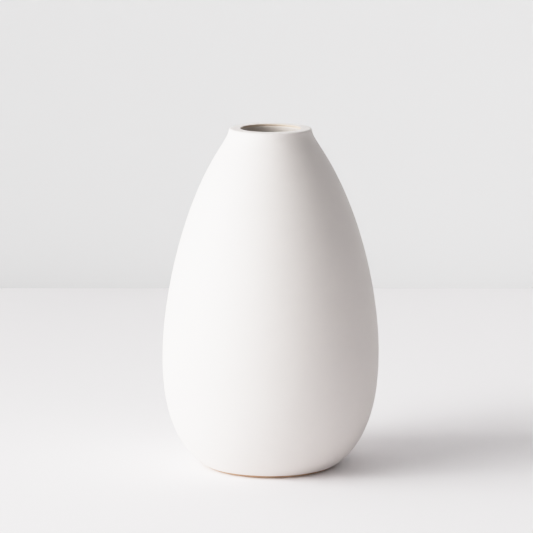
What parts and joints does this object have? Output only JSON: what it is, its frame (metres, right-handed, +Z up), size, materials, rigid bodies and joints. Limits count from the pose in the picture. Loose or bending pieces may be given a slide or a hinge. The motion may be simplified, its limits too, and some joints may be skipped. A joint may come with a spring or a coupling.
{
  "type": "bud vase",
  "caption": "Egg-shaped ceramic bud vase with a narrow open mouth, matte white glaze and a bare clay foot; it stands on its foot and holds cut stems in water.",
  "frame": {"origin": "middle of the circle that the foot ring rests on, in the plane of the table", "axes": "+Z up along the axis that every piece is turned about, from the foot to the mouth; X and Y lie in the table's plane"},
  "size_m": [0.0958, 0.0958, 0.15],
  "materials": {
    "bare_clay": "fired buff stoneware, unglazed",
    "foot_clay": "fired buff stoneware, unglazed, sponged smooth",
    "matte_white_glaze": "matte white glaze with no mirror-like highlight",
    "liner_glaze": "thin off-white liner glaze, satin"
  },
  "bodies": {
    "root": {"clay_body": "bare_clay", "foot_ring": "foot_clay", "outer_glaze": "matte_white_glaze", "liner_glaze": "liner_glaze"}
  },
  "joints": []
}
